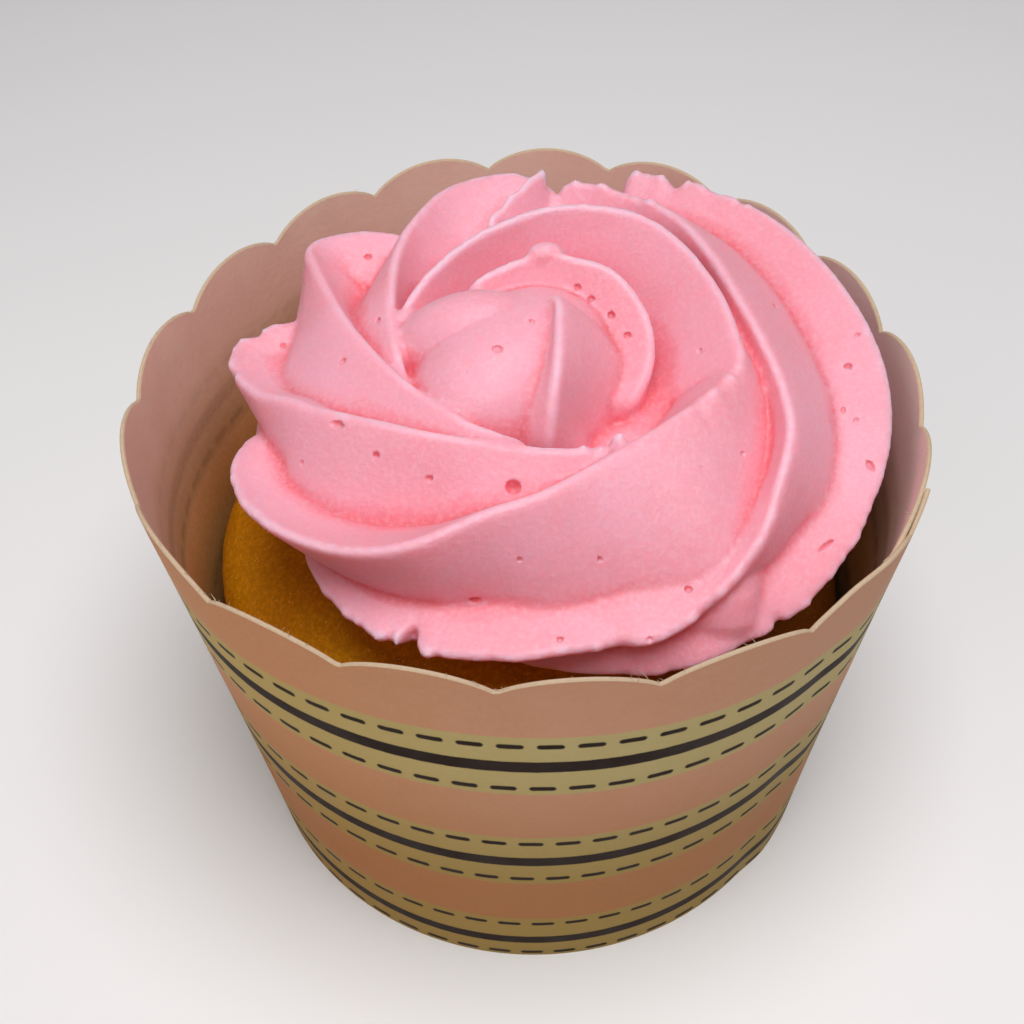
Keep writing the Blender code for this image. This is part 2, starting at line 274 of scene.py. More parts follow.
def print_masks(made, soft=INK_SOFT):
    """How cream and how brown the print is, from the height and the way round."""
    x, y, z = made.split(made.vector("SUBTRACT", made.where, (AXIS.x, AXIS.y, 0.0)))
    wander = made.math("MULTIPLY", made.math("SUBTRACT", made.grain(900.0, 2.0), 0.5), INK_WANDER)
    height = made.math("MULTIPLY_ADD", z, 1 / MM, wander)

    def between(low, high):
        up = made.smooth(height, low - soft, low + soft)
        down = made.smooth(height, high - soft, high + soft)
        return made.math("SUBTRACT", up, down)

    cream = between(*CREAM_BANDS[0])
    for low, high in CREAM_BANDS[1:]:
        cream = made.math("MAXIMUM", cream, between(low, high))
    stripes = [between(middle - STRIPE_HALF, middle + STRIPE_HALF) for middle in BROWN_STRIPES]
    brown = stripes[0]
    for stripe in stripes[1:]:
        brown = made.math("MAXIMUM", brown, stripe)
    # Angle from the front, counted so that its jump falls on the glued lap.
    back = radians(LAP_END - 270) - pi

    def turned(x_share, y_share):
        return made.math("ADD", made.math("MULTIPLY", x, x_share), made.math("MULTIPLY", y, y_share))

    angle = made.math("ARCTAN2", turned(cos(back), sin(back)), turned(sin(back), -cos(back)))
    angle = made.math("ADD", angle, back)
    for row, first in STITCH_ROWS:
        per_radian = (CUP_FOOT_R + CUP_TAPER * row) / STITCH_PITCH
        share = made.math("MULTIPLY_ADD", angle, per_radian, 0.5 - radians(first) * per_radian)
        off = made.math("ABSOLUTE", made.math("SUBTRACT", made.math("FRACT", share), 0.5))
        along = made.math("MAXIMUM", made.math("MULTIPLY_ADD", off, STITCH_PITCH, -STITCH_HALF), 0.0)
        across = made.math("SUBTRACT", height, row)
        far = made.math("ADD", made.math("POWER", along, 2.0), made.math("MULTIPLY", across, across))
        far = made.math("SQRT", far)
        stitch = made.math("SUBTRACT", 1.0, made.smooth(far, STITCH_R - soft, STITCH_R + soft))
        brown = made.math("MAXIMUM", brown, stitch)
    return cream, brown, height


def print_finish():
    """Flat ink on smooth board, with the board's fibres showing faintly through."""
    made = Finish("printed_card")
    cream, brown, height = print_masks(made)
    mottle = made.smooth(made.grain(260.0, 5.0, 0.6), 0.3, 0.7)
    speck = made.smooth(made.grain(2600.0, 3.0, 0.7), 0.35, 0.7)
    pink = made.mix(made.math("MULTIPLY", mottle, 0.35), PRINT_PINK, PRINT_PINK_WORN)
    cream_ink = made.mix(made.math("MULTIPLY", mottle, 0.3), PRINT_CREAM, PRINT_CREAM_WORN)
    colour = made.mix(cream, pink, cream_ink)
    colour = made.mix(made.math("MULTIPLY", speck, 0.10), colour, PRINT_SPECK)
    # Painted shade: the print is darker and yellower towards the foot of the sleeve.
    low_shade = made.math("SUBTRACT", 1.0, made.smooth(height, *LOW_SHADE_HEIGHTS))
    colour = made.mix(low_shade, colour, PAINTED_LOW_SHADE, "MULTIPLY")
    # Painted shade: the print is warmer and darker towards the left.
    x_side = made.split(made.where)[0]
    warm_shade = made.smooth(x_side, WARM_SHADE_SIDE[0] * MM, WARM_SHADE_SIDE[1] * MM)
    colour = made.mix(warm_shade, colour, PAINTED_WARM_SHADE, "MULTIPLY")
    colour = made.mix(brown, colour, PRINT_BROWN)
    rough = made.math("MULTIPLY_ADD", mottle, 0.12, 0.5)
    fibres = made.bump(made.grain(2200.0, 6.0, 0.65), 0.25, 0.00008)
    made.set(Base_Color=colour, Roughness=rough, Normal=fibres)
    made.shader.inputs["Specular IOR Level"].default_value = 0.08
    return made.material


BARE_BOARD = (0.90, 0.58, 0.47)
BARE_BOARD_PALE = (0.94, 0.65, 0.53)
BARE_BOARD_SPECK = (0.82, 0.72, 0.60)
PINK_LIGHT_SIDE = (12.0, 26.0)  # painted light and pink reflection of the icing, from the first x on, wholly at the second
PAINTED_PINK_LIGHT = (0.98, 0.76, 0.70)
SHOW_THROUGH_HEIGHTS = (30.0, 44.0)  # the print shows through below the first, not above the second
SHOW_THROUGH_SOFT = 0.5
SHOW_THROUGH_CREAM = (0.50, 0.38, 0.19)
SHOW_THROUGH_BROWN = (0.22, 0.10, 0.05)
GREASY_HEIGHTS = (27.0, 43.0)  # soaked below the first, dry above the second
GREASY_TINT = (0.62, 0.46, 0.13)


def inside_finish():
    """Bare board, stained by butter so that the print shows through low down."""
    made = Finish("card_inside")
    cream, brown, height = print_masks(made, soft=SHOW_THROUGH_SOFT)
    low = made.math("SUBTRACT", 1.0, made.smooth(height, *SHOW_THROUGH_HEIGHTS))
    greasy = made.math("SUBTRACT", 1.0, made.smooth(height, *GREASY_HEIGHTS))
    streak = made.smooth(made.grain(120.0, 4.0, 0.6), 0.35, 0.65)
    board = made.mix(streak, BARE_BOARD, BARE_BOARD_PALE)
    # Painted light: the right inner wall is paler and pinker, as if lit by the icing's pink
    # reflection.
    x_side = made.split(made.where)[0]
    board = made.mix(made.smooth(x_side, PINK_LIGHT_SIDE[0] * MM, PINK_LIGHT_SIDE[1] * MM), board, PAINTED_PINK_LIGHT)
    through = made.mix(made.math("MULTIPLY", cream, 0.5), board, SHOW_THROUGH_CREAM)
    through = made.mix(made.math("MULTIPLY", brown, 0.45), through, SHOW_THROUGH_BROWN)
    colour = made.mix(low, board, through)
    colour = made.mix(greasy, colour, GREASY_TINT, "MULTIPLY")
    speck = made.smooth(made.grain(2400.0, 3.0, 0.7), 0.35, 0.7)
    colour = made.mix(made.math("MULTIPLY", speck, 0.12), colour, BARE_BOARD_SPECK)
    fibres = made.bump(made.grain(1700.0, 7.0, 0.7), 0.35, 0.00012)
    made.set(Base_Color=colour, Roughness=0.72, Normal=fibres)
    return made.material


CUT_EDGE_DARK = (0.46, 0.32, 0.20)
CUT_EDGE_PALE = (0.66, 0.52, 0.36)


def cut_edge_finish():
    """The board's raw pulp, where the punch went through it."""
    made = Finish("card_cut_edge")
    fuzz = made.grain(3000.0, 5.0, 0.7)
    colour = made.mix(fuzz, CUT_EDGE_DARK, CUT_EDGE_PALE)
    made.set(Base_Color=colour, Roughness=0.85, Normal=made.bump(fuzz, 0.5, 0.0001))
    return made.material


points, faces, kinds = sleeve_mesh()
sleeve = new_piece("card_sleeve", points, faces)
for finish in (print_finish(), inside_finish(), cut_edge_finish()):
    sleeve.data.materials.append(finish)
sleeve.data.polygons.foreach_set("material_index", np.array(kinds, np.int32))
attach(sleeve, "root")
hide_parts("cup_sleeve")

# ---------------------------------------------------------------------------
# Paper fibres. Where the punch tore the board instead of cutting it, short hairs
# of fibre stand on the rim, mostly at the front left.

FIBRE_R = 0.035
FIBRE_TAPER = 0.6  # share of its thickness that a hair loses by its tip
FIBRE_STEPS = 7
FIBRE_CORNERS = (0.0, 2.1, 4.2)
FIBRES_AT_TEARS = 45
FIBRES_ELSEWHERE = 15
TEARS_AT = (218.0, 224.5, 236.0, 265.0, 286.0)
TEAR_SPREAD = 2.4
FIBRE_LENGTHS = (0.25, 0.9)
FIBRE_SINK = 0.1  # how deep a hair starts in the edge, and how far inside it its tip stays


def skin(loops):
    """A closed skin over a row of loops that have the same number of points."""
    count = len(loops[0])
    points = [tuple(p) for loop in loops for p in loop]
    faces = []
    for row in range(len(loops) - 1):
        for k in range(count):
            after = (k + 1) % count
            low, high = row * count, (row + 1) * count
            faces.append((low + k, low + after, high + after, high + k))
    last = (len(loops) - 1) * count
    faces.append(tuple(range(count)))
    faces.append(tuple(last + k for k in range(count)))
    return points, faces


def joined(skins):
    """Several skins as one row of points and one of faces."""
    points, faces = [], []
    for more_points, more_faces in skins:
        faces += [tuple(len(points) + i for i in face) for face in more_faces]
        points += more_points
    return points, faces


def fibre(start, end, bend):
    """A thin curved hair from one point to another."""
    middle = (start + end) / 2 + bend
    loops = []
    for t in np.linspace(0, 1, FIBRE_STEPS):
        at = (1 - t) ** 2 * start + 2 * t * (1 - t) * middle + t * t * end
        r = FIBRE_R * (1 - FIBRE_TAPER * t)
        loops.append([at + r * np.array([cos(a), sin(a), 0.3 * cos(a)]) for a in FIBRE_CORNERS])
    return skin(loops)


def fibres_mesh():
    """Most hairs stand at the tears, and a few all round."""
    chance = np.random.default_rng(7)
    hairs = []
    for k in range(FIBRES_AT_TEARS + FIBRES_ELSEWHERE):
        azimuth = chance.choice(TEARS_AT) + chance.normal(0, TEAR_SPREAD)
        if k >= FIBRES_AT_TEARS:
            azimuth = chance.uniform(0, 360)
        top = VALLEY_Z + scallop(azimuth)
        r = cup_radius(azimuth, top) - CARD / 2
        a = radians(azimuth)
        start = np.array([r * cos(a), r * sin(a), top - FIBRE_SINK])
        reach = chance.uniform(*FIBRE_LENGTHS)
        way = [chance.normal(0, 0.6), chance.normal(0, 0.6), chance.uniform(0.1, 0.7)]
        end = start + reach * np.array(way)
        end[:2] *= min(1.0, (r - FIBRE_SINK) / hypot(end[0], end[1]))
        hairs.append(fibre(start, end, chance.normal(0, 0.15, 3)))
    return joined(hairs)


fibres = new_piece("rim_fibres", *fibres_mesh(), crease=180)
fibres.data.materials.append(cut_edge_finish())
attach(fibres, "root")

# ---------------------------------------------------------------------------
# Base disc. A plain disc of the same board, its edge turned down into a hem that
# is glued inside the foot of the sleeve. The cup stands on that hem.

BASE_DARK = (0.56, 0.47, 0.35)
BASE_PALE = (0.70, 0.62, 0.49)


def base_finish():
    """Plain unprinted board."""
    made = Finish("base_card")
    fuzz = made.grain(900.0, 6.0, 0.65)
    colour = made.mix(fuzz, BASE_DARK, BASE_PALE)
    made.set(Base_Color=colour, Roughness=0.8, Normal=made.bump(fuzz, 0.4, 0.0001))
    return made.material


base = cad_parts["cup_base"]
base.data.materials.clear()
base.data.materials.append(base_finish())

# ---------------------------------------------------------------------------
# Sponge. A vanilla cake baked in the cup: a domed, golden brown crust with a fine
# open crumb, drawn a little away from the card as it cooled.

CRUST_EDGE_Z = 25.4
CRUST_RISE = 12.4
CRUST_POWER = 2.2
CRUST_ROUND = 2.4
CRUST_CLIMB = 4.2  # how much further the edge rose on one side
CRUST_CLIMB_AT = 176.0
CRUST_CLIMB_SPREAD = 40.0
CRUST_CLIMB_POWER = 5
# Unevenness of the crust: (height, waves to a millimetre), from broad to fine.
CRUST_WAVES = ((0.22, 0.16), (0.10, 0.7), (-0.035, 3.6))
CRUST_SWELL_MOST = 0.2
PIT_WAVES = 1.9
PIT_FROM = 0.28
PIT_DEPTH = 0.28
GAP = 0.3
SPONGE_FOOT_Z = 2.6
SPONGE_SIDES = 260
SPONGE_TOP_ROWS = 90
SPONGE_SHOULDER_ROWS = 12
SPONGE_WALL_ROWS = 16
CRUST_GOLD = (0.56, 0.205, 0.0005)
CRUST_YELLOW = (0.66, 0.28, 0.001)
CRUMB_DARK = (0.20, 0.07, 0.0)
SHADED_SIDE = (4.0, 19.0)  # painted shade, darker from the first x on, wholly at the second
PAINTED_SHADE_BROWN = (0.17, 0.035, 0.004)
# Painted highlight colour for the glints of the sugar specks.
PAINTED_SUGAR_GLINT = (0.85, 0.58, 0.22)
crust_edge_r = (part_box("sponge")[1].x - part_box("sponge")[0].x) / 2 / MM


def crust_height(radius):
    """The crust's dome, without its unevenness."""
    share = min(radius / crust_edge_r, 1.0)
    return CRUST_EDGE_Z + CRUST_RISE * (1 - share**CRUST_POWER)


def sponge_mesh():
    """The sponge turned round its axis: wall, rounded shoulder, dome and its crumb."""
    foot = CUP_FOOT_R + CUP_TAPER * SPONGE_FOOT_Z - CARD - GAP
    profile = []
    for k in range(SPONGE_WALL_ROWS):
        share = k / SPONGE_WALL_ROWS
        z = SPONGE_FOOT_Z + (CRUST_EDGE_Z - CRUST_ROUND - SPONGE_FOOT_Z) * share
        profile.append((foot + (crust_edge_r - foot) * share, z))
    for k in range(1, SPONGE_SHOULDER_ROWS + 1):
        turn = radians(90 * k / SPONGE_SHOULDER_ROWS)
        radius = crust_edge_r - CRUST_ROUND * (1 - cos(turn))
        profile.append((radius, crust_height(radius) - CRUST_ROUND * (1 - sin(turn))))
    for k in range(SPONGE_TOP_ROWS - 1, 0, -1):
        radius = (crust_edge_r - CRUST_ROUND) * k / SPONGE_TOP_ROWS
        profile.append((radius, crust_height(radius)))
    loops = []
    for row, (radius, z) in enumerate(profile):
        loop = []
        for k in range(SPONGE_SIDES):
            a = 2 * pi * k / SPONGE_SIDES
            at = Vector((radius * cos(a), radius * sin(a), z))
            swell = sum(size * noise.noise(at * waves) for size, waves in CRUST_WAVES)
            swell -= PIT_DEPTH * max(0.0, noise.noise(at * PIT_WAVES) - PIT_FROM)
            if z < CRUST_EDGE_Z - CRUST_ROUND:
                swell = min(swell, 0.0)
            if z > CRUST_EDGE_Z / 2:
                climb = exp(-((degrees(a) - CRUST_CLIMB_AT) / CRUST_CLIMB_SPREAD) ** 2)
                climb *= (z / CRUST_EDGE_Z) * (radius / crust_edge_r) ** CRUST_CLIMB_POWER
                at.z += CRUST_CLIMB * climb
            on_shoulder = row < SPONGE_WALL_ROWS + SPONGE_SHOULDER_ROWS // 3
            outward = Vector((cos(a), sin(a), 0.0)) * (1.0 if on_shoulder else 0.2)
            up = Vector((0.0, 0.0, 0.0 if row < SPONGE_WALL_ROWS else 1.0))
            at += (outward + up).normalized() * min(swell, CRUST_SWELL_MOST)
            loop.append(tuple(at))
        loops.append(loop)
    return skin(loops)


def sponge_finish():
    """Baked crust: golden, with painted shade towards +X and fine painted sugar glints."""
    made = Finish("sponge_crust")
    broad = made.smooth(made.grain(110.0, 4.0, 0.55), 0.35, 0.68)
    crumb = made.grain(2100.0, 6.0, 0.7)
    colour = made.mix(broad, CRUST_GOLD, CRUST_YELLOW)
    colour = made.mix(made.smooth(crumb, 0.42, 0.62), made.mix(0.35, colour, CRUMB_DARK), colour)
    # Painted shade: the crust is darker towards +X, where the icing shades it.
    x_side = made.split(made.where)[0]
    shaded_side = made.smooth(x_side, SHADED_SIDE[0] * MM, SHADED_SIDE[1] * MM)
    colour = made.mix(made.math("MULTIPLY", shaded_side, 0.85), colour, PAINTED_SHADE_BROWN)
    sugar = made.grain(4200.0, 2.0, 0.5)
    glint = made.smooth(sugar, 0.68, 0.76)
    # Painted highlight: the sugar specks are lightened to paint their glints; they are also less
    # rough.
    colour = made.mix(made.math("MULTIPLY", glint, 0.7), colour, PAINTED_SUGAR_GLINT)
    bumps = made.bump(crumb, 0.55, 0.0003)
    bumps = made.bump(sugar, 0.35, 0.0001, under=bumps)
    rough = made.math("MULTIPLY_ADD", glint, -0.25, 0.62)
    made.set(Base_Color=colour, Roughness=rough, Normal=bumps)
    made.shader.inputs["Specular IOR Level"].default_value = 0.12
    return made.material


sponge = new_piece("sponge_crumb", *sponge_mesh(), crease=180)
sponge.data.materials.append(sponge_finish())
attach(sponge, "root")
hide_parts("sponge")

# ---------------------------------------------------------------------------
# Icing. Whipped butter icing, tinted pink, piped cold through a large open star
# tube: one rope coiled once and a half round a bud. Each point of the star lays a
# thin fold that climbs from the rope's outer side, over its top, to its inner side.

# The rope's solid middle: (azimuth, distance from the axis, height, radius).
ROPE = (
    (-62, 8.6, 40.0, 5.0),
    (-20, 11.4, 41.0, 4.8),
    (20, 11.8, 42.0, 4.9),
    (58, 11.0, 43.0, 5.4),
    (92, 12.0, 42.4, 6.0),
    (122, 14.0, 40.6, 6.2),
    (150, 14.4, 39.6, 6.0),
    (180, 14.2, 39.0, 5.8),
    (240, 14.2, 38.6, 5.4),
    (290, 15.2, 38.6, 5.4),
    (318, 18.6, 39.2, 5.6),
    (345, 19.6, 39.6, 5.8),
    (380, 20.6, 40.0, 6.2),
    (408, 21.2, 41.0, 6.4),
    (424, 22.0, 42.0, 5.0),
)

# Each fold is a row of stations along its crest: (azimuth, distance from the axis,
# height, distance of its foot from the axis, width of the foot on the fold's outer
# side, and on its inner side).

# The outermost fold, from under the front right round to its torn end at the back.
OUTERMOST_FOLD = (
    (256, 18.6, 35.0, 15.0, 3.4, 5.0), (271, 21.0, 36.2, 15.6, 3.4, 5.0),
    (285, 23.2, 36.9, 16.2, 3.4, 5.0), (297, 25.2, 37.6, 16.8, 3.4, 5.0),
    (309, 26.5, 38.6, 17.4, 3.4, 5.0), (318, 27.6, 39.8, 18.0, 3.4, 5.0),
    (328, 28.3, 41.4, 18.4, 3.4, 4.8), (338, 28.7, 43.2, 18.8, 3.4, 4.6),
    (348, 28.9, 45.1, 19.2, 3.4, 4.6), (358, 28.6, 46.7, 19.6, 3.4, 4.6),
    (369, 27.9, 48.0, 20.0, 3.4, 4.6), (383, 27.3, 48.9, 20.4, 3.4, 4.6),
    (397, 27.1, 49.3, 20.8, 3.4, 4.6), (411, 26.6, 49.4, 21.2, 3.4, 4.6),
    (422, 26.7, 49.2, 21.4, 3.4, 4.4), (429, 26.4, 48.8, 21.6, 3.4, 4.0),
)
# The front shelf, which stands up on the right and dives behind the inner coil.
FRONT_SHELF = (
    (199, 19.4, 37.2, 14.0, 3.2, 3.6), (214, 21.3, 39.2, 14.0, 3.2, 3.4),
    (229, 22.9, 40.0, 14.0, 3.2, 3.1), (245, 23.9, 40.4, 14.0, 3.2, 3.0),
    (262, 23.8, 40.8, 14.0, 3.4, 3.0), (280, 23.7, 41.3, 14.2, 3.6, 3.4),
    (291, 24.6, 41.8, 14.6, 4.0, 4.2), (300, 24.5, 42.8, 16.4, 4.4, 4.0),
    (308, 24.3, 44.4, 17.6, 5.0, 2.8), (316, 23.8, 46.2, 18.8, 5.6, 2.0),
    (325, 22.6, 48.0, 19.4, 6.2, 1.5), (335, 21.6, 49.2, 19.4, 7.4, 1.3),
    (346, 19.8, 50.1, 18.8, 8.8, 1.3), (359, 18.1, 50.8, 17.8, 9.2, 1.6),
    (374, 17.3, 51.2, 18.0, 8.4, 2.4), (391, 17.9, 51.2, 18.6, 8.6, 2.4),
    (407, 19.5, 51.0, 19.2, 8.6, 3.0), (421, 20.9, 50.6, 19.6, 6.0, 4.0),
    (433, 21.6, 50.2, 19.8, 4.4, 5.0), (442, 21.7, 50.0, 19.0, 3.6, 5.0),
)
# The long fold: along the front, round the right, and in again as the inner coil's lip.
LONG_FOLD = (
    (176, 20.0, 40.8, 14.0, 4.2, 3.4), (189, 23.2, 43.2, 14.0, 4.2, 3.0),
    (203, 24.6, 44.6, 14.0, 4.2, 2.2), (217, 24.2, 45.8, 14.0, 4.2, 1.8),
    (232, 22.8, 46.8, 14.2, 4.4, 2.4), (245, 20.9, 48.1, 14.2, 5.3, 3.2),
    (260, 17.4, 49.4, 14.2, 6.0, 3.6), (273, 15.8, 49.7, 14.0, 7.3, 3.4),
    (287, 14.3, 49.8, 13.6, 9.2, 3.4), (302, 13.7, 50.0, 13.2, 12.0, 3.6),
    (313, 13.9, 50.2, 13.0, 13.2, 3.8), (322, 14.4, 50.4, 13.0, 12.2, 4.0),
    (331, 15.2, 50.6, 13.0, 11.6, 4.4), (340, 16.2, 50.8, 13.2, 10.4, 5.0),
    (347, 16.8, 51.0, 13.4, 9.2, 5.6), (356, 16.3, 51.3, 13.4, 6.2, 6.2),
    (366, 15.9, 51.7, 13.2, 4.2, 6.2), (377, 15.7, 52.0, 13.0, 3.2, 6.2),
    (396, 15.8, 52.5, 13.0, 3.0, 5.6), (412, 15.9, 52.8, 13.0, 3.0, 4.4),
    (428, 14.9, 53.0, 12.4, 2.8, 3.2), (444, 13.6, 52.9, 11.8, 2.8, 2.8),
    (467, 11.6, 52.5, 10.6, 2.8, 2.4), (488, 10.6, 51.9, 9.8, 2.8, 2.2),
    (508, 10.3, 51.1, 9.6, 2.8, 2.2), (524, 10.2, 50.1, 9.4, 2.6, 2.2),
    (540, 9.6, 48.2, 9.0, 2.4, 2.2),
)
# The first petal on the left, with a ragged tip and a short torn end at the front.
LEFT_PETAL = (
    (151, 17.0, 45.4, 12.0, 3.0, 3.0), (156, 20.0, 46.1, 13.0, 3.4, 3.4),
    (161.5, 22.8, 46.3, 13.6, 4.0, 3.6), (167.5, 25.1, 45.7, 14.0, 4.8, 3.6),
    (175, 23.9, 46.0, 14.0, 5.8, 3.6), (184, 21.6, 47.0, 14.0, 6.6, 3.8),
    (192, 18.8, 48.3, 14.0, 8.4, 4.2), (200, 16.9, 49.0, 14.0, 8.2, 4.2),
    (210, 14.8, 49.7, 14.0, 6.8, 3.8), (222, 13.1, 50.1, 14.0, 5.0, 3.2),
    (238, 11.7, 50.1, 14.0, 3.8, 2.8), (258, 10.9, 49.9, 14.0, 4.0, 2.6),
    (280, 11.5, 49.7, 14.0, 4.2, 2.6), (295, 12.1, 49.6, 14.0, 3.6, 2.6),
    (302, 12.4, 50.1, 13.6, 3.2, 2.6), (306, 12.6, 50.0, 13.4, 3.0, 2.6),
)
# The second petal, whose crest runs on round the front of the bud.
SECOND_PETAL = (
    (115, 16.5, 47.6, 12.0, 3.0, 4.0), (121, 19.4, 48.2, 13.0, 3.6, 4.6),
    (127, 21.8, 48.3, 14.0, 4.0, 5.0), (132, 23.4, 48.2, 15.0, 4.4, 5.0),
    (137, 24.2, 48.3, 16.0, 5.0, 4.8), (141.5, 23.6, 48.7, 16.0, 6.0, 4.6),
    (146, 21.4, 49.2, 16.0, 7.4, 4.4), (152, 18.8, 49.6, 15.6, 8.6, 3.8),
    (166, 14.8, 50.1, 15.0, 9.2, 3.4), (185, 11.6, 50.3, 14.6, 7.6, 3.0),
    (204, 10.1, 50.3, 14.2, 5.4, 2.8), (226, 9.4, 50.3, 14.0, 4.2, 2.4),
    (243, 9.6, 50.1, 13.6, 3.6, 2.2), (258, 10.0, 49.9, 13.2, 2.8, 2.2),
    (274, 10.6, 49.4, 13.0, 2.6, 2.2),
)
# The third petal, at the back.
BACK_PETAL = (
    (78, 20.4, 48.6, 12.0, 3.4, 4.0), (85, 22.4, 49.5, 12.6, 4.2, 4.4),
    (92, 23.2, 49.8, 13.0, 5.0, 4.6), (99, 23.3, 49.8, 13.0, 5.4, 4.8),
    (105, 22.6, 49.9, 13.0, 5.8, 4.8), (111, 21.2, 50.1, 13.4, 6.2, 4.6),
    (118, 19.0, 50.4, 13.8, 5.8, 4.0), (125, 17.2, 50.6, 14.0, 5.8, 3.6),
    (137, 14.4, 50.8, 14.0, 5.6, 3.2), (156, 11.6, 50.6, 13.6, 6.4, 3.0),
    (176, 10.1, 50.3, 13.2, 4.6, 2.6), (196, 9.7, 49.6, 13.0, 3.2, 2.4),
    (210, 9.4, 48.4, 13.0, 3.0, 2.4),
)
# The strand that tore off when the tube was drawn away at the back.
TORN_STRAND = (
    (101, 15.8, 49.8, 12.0, 1.4, 1.4), (96, 17.6, 50.4, 13.0, 1.4, 1.4),
    (91, 19.4, 50.8, 14.0, 1.4, 1.4), (86.5, 21.4, 51.0, 15.5, 1.2, 1.2),
    (84, 22.6, 50.9, 17.0, 1.0, 1.0),
)
# The arc behind the bud.
INNER_ARC = (
    (141, 7.6, 49.0, 3.0, 2.4, 1.8), (129, 7.0, 51.2, 3.0, 2.4, 1.8),
    (114, 6.9, 52.1, 3.2, 2.4, 1.8), (92, 7.2, 52.7, 3.6, 2.4, 1.8),
    (77, 7.8, 53.1, 4.0, 2.4, 2.0), (62, 7.9, 53.1, 4.4, 2.4, 2.4),
    (42, 8.9, 52.7, 4.8, 2.2, 3.0), (29, 9.5, 52.0, 5.2, 2.0, 3.4),
    (17, 9.9, 51.0, 5.6, 2.0, 3.4), (6, 10.1, 50.0, 5.8, 2.4, 3.4),
    (-6, 10.0, 48.9, 6.0, 3.0, 3.4), (-18, 9.6, 47.8, 6.0, 3.4, 3.4),
    (-30, 9.0, 46.4, 6.0, 3.4, 3.4),
)
# The sharp ridge on the bud, where the tube first touched down.
BUD_RIDGE = (
    (50, 3.4, 52.9, 0.6, 8.0, 1.6), (20, 2.9, 53.4, 0.7, 9.6, 1.6),
    (-16, 2.8, 53.5, 0.8, 9.6, 1.6), (-49, 4.0, 53.4, 1.6, 9.0, 3.4),
    (-66, 6.0, 52.9, 2.8, 7.6, 5.6), (-74.5, 7.8, 51.7, 4.2, 6.4, 7.6),
    (-79, 9.2, 49.8, 6.0, 6.0, 8.0), (-82, 10.0, 47.6, 7.0, 5.6, 8.0),
)

# How each fold stands on its stations. "root_z" is the height of its foot. "belly" is
# how round its outer face is at a few azimuths, 1 being flat, and "inner_belly" the same
# of its inner face. "fade" is the length over which its ends sink in. "torn" says how
# ragged the crest is between two azimuths, and "notches" are bites in it, as (azimuth,
# half width in degrees, depth).
FOLDS = (
    {
        "stations": OUTERMOST_FOLD,
        "root_z": 39.5,
        "belly": ((0, 1.3),),
        "inner_belly": 1.4,
        "fade": 0.9,
        "torn": ((284, 340, 0.3), (400, 432, 0.55)),
        "notches": ((313, 1.0, 0.5), (418, 1.6, 0.8)),
    },
    {
        "stations": FRONT_SHELF,
        "root_z": 39.5,
        "belly": ((0, 1.8),),
        "inner_belly": 1.4,
        "fade": 1.2,
        "torn": ((222, 258, 0.34), (258, 312, 0.24), (312, 335, 0.12), (414, 444, 0.5)),
        "notches": (
            (247.6, 1.3, 2.3), (243.6, 0.8, 0.6), (251.5, 1.2, -0.5), (284, 2.6, 0.4), (301, 2.2, 0.3),
        ),
    },
    {
        "stations": LONG_FOLD,
        "root_z": 39.0,
        "belly": (
            (170, 1.6), (302, 1.8), (313, 2.2), (322, 2.4),
            (331, 2.3), (340, 2.0), (349, 1.6), (358, 1.3),
        ),
        "inner_belly": 1.7,
        "fade": 2.0,
        "torn": ((186, 216, 0.2), (318, 350, 0.4)),
        "notches": ((343, 0.8, 0.4),),
    },
    {
        "stations": LEFT_PETAL,
        "root_z": 40.5,
        "belly": ((0, 1.6),),
        "inner_belly": 1.3,
        "fade": 0.6,
        "torn": ((152, 182, 0.3), (288, 306, 0.45)),
        "notches": ((163.5, 1.0, 0.6), (298.5, 1.2, 0.6)),
    },
    {
        "stations": SECOND_PETAL,
        "root_z": 40.0,
        "belly": ((0, 1.6),),
        "inner_belly": 1.2,
        "fade": 1.5,
    },
    {
        "stations": BACK_PETAL,
        "root_z": 39.5,
        "belly": ((0, 1.8),),
        "inner_belly": 1.4,
        "fade": 1.0,
        "torn": ((78, 96, 0.35),),
    },
    {
        "stations": TORN_STRAND,
        "root_z": 44.0,
        "belly": ((0, 1.3),),
        "inner_belly": 1.3,
        "fade": 0.4,
        "torn": ((80, 102, 0.4),),
    },
    {
        "stations": INNER_ARC,
        "root_z": 43.5,
        "belly": ((0, 1.2),),
        "inner_belly": 1.3,
        "fade": 1.5,
    },
    {
        "stations": BUD_RIDGE,
        "root_z": 40.5,
        "belly": ((-75, 1.0), (-49, 1.7), (-16, 2.1), (50, 2.1)),
        "inner_belly": 1.0,
        "fade": 0.6,
    },
)

# The bud, the slice behind it, the knob on the inner arc, and the filling under them
# all: (centre, radii, turn).
MASSES = (
    ((-0.86, -0.35, 45.65), (10.3, 7.3, 7.3), 47.4),
    ((-3.36, 1.72, 45.7), (7.9, 4.75, 7.5), 0.0),
    ((1.9, 7.8, 52.6), (1.5, 1.0, 1.0), 0.0),
    ((0.0, 0.0, 38.0), (15.0, 15.0, 8.0), 0.0),
)
MASS_ROWS = 24
HOLE_ROWS = 8

